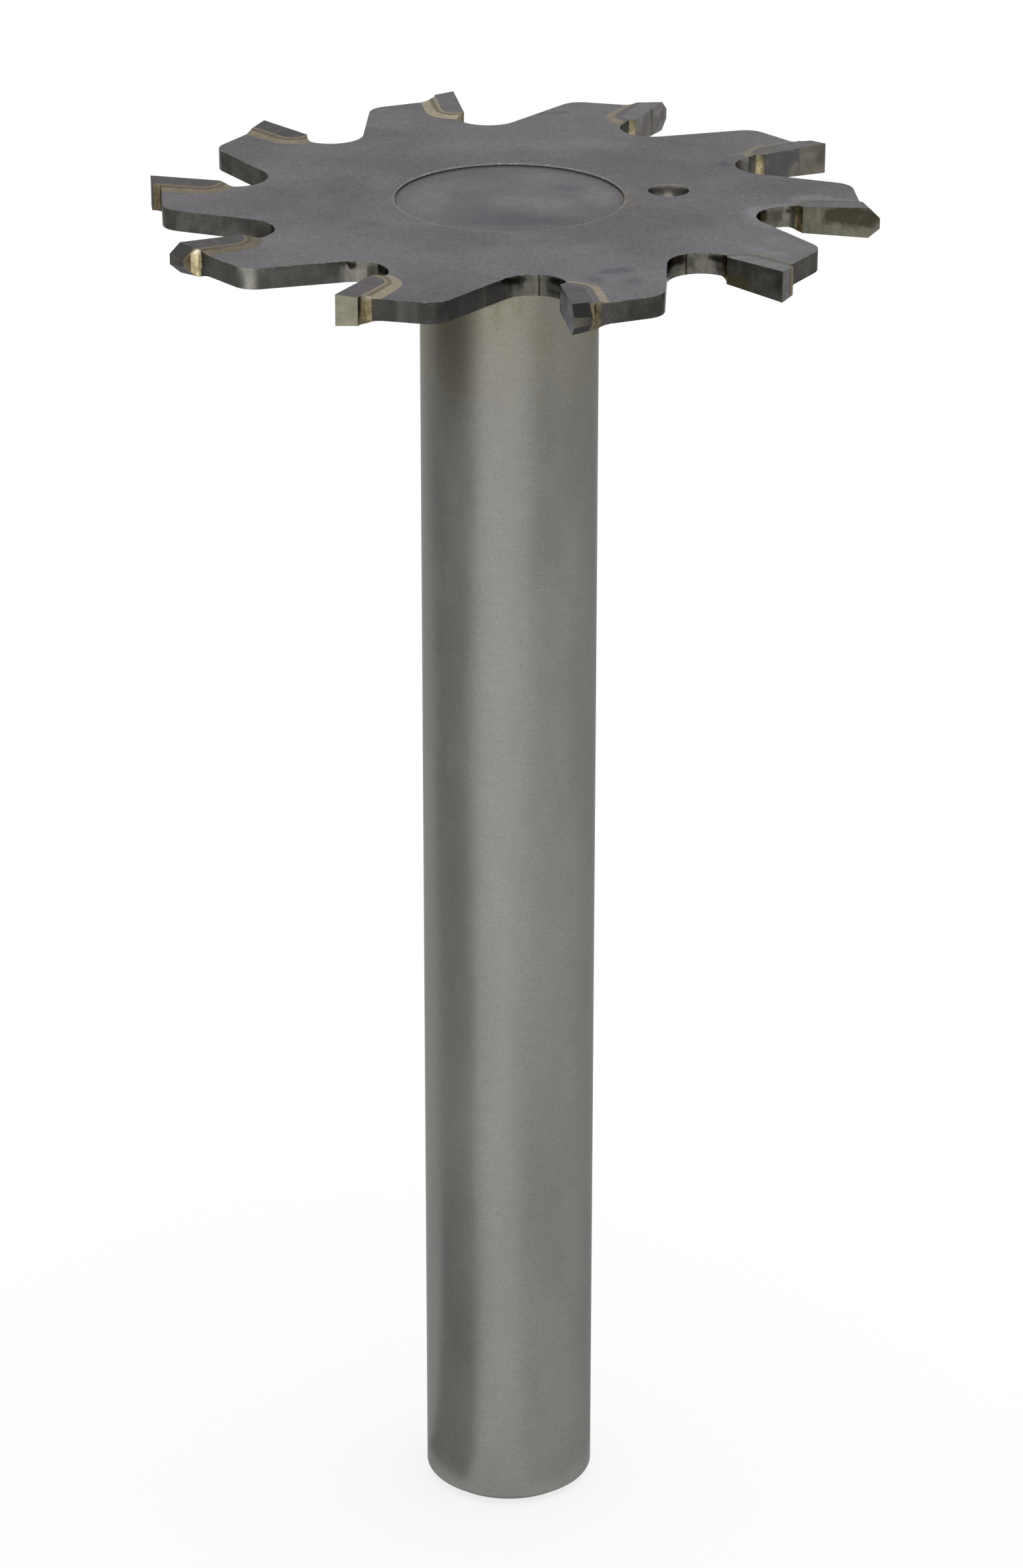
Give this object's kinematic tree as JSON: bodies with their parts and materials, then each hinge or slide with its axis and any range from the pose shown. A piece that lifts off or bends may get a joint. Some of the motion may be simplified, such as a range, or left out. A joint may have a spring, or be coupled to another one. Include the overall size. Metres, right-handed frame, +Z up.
{
  "type": "router bit",
  "caption": "Long-shank slotting router bit: a thin toothed saw plate with brazed carbide tips on the end of a plain round shank, for cutting narrow grooves.",
  "frame": {"origin": "centre of the shank's flat end face, on which the bit stands", "axes": "+Z up the axis of the bit towards the saw plate; +X points 27.2 degrees clockwise, seen from the plate, of the cutting face of carbide_tip_01"},
  "size_m": [0.0511, 0.0511, 0.1032],
  "materials": {
    "shank_steel": "satin ground tool steel, brown tarnish under the plate",
    "plate_steel": "matt dark grey ground saw steel with darker cut edges",
    "carbide": "dark grey ground carbide with brown braze stains on the cutting faces",
    "braze": "dull tan silver braze with brighter beads"
  },
  "bodies": {
    "root": {"shank": "shank_steel", "saw_plate": "plate_steel", "hub_braze_ring": "braze", "carbide_tip_01": "carbide", "tip_braze_01": "braze", "carbide_tip_02": "carbide", "tip_braze_02": "braze", "carbide_tip_03": "carbide", "tip_braze_03": "braze", "carbide_tip_04": "carbide", "tip_braze_04": "braze", "carbide_tip_05": "carbide", "tip_braze_05": "braze", "carbide_tip_06": "carbide", "tip_braze_06": "braze", "carbide_tip_07": "carbide", "tip_braze_07": "braze", "carbide_tip_08": "carbide", "tip_braze_08": "braze", "carbide_tip_09": "carbide", "tip_braze_09": "braze", "carbide_tip_10": "carbide", "tip_braze_10": "braze"}
  },
  "joints": []
}
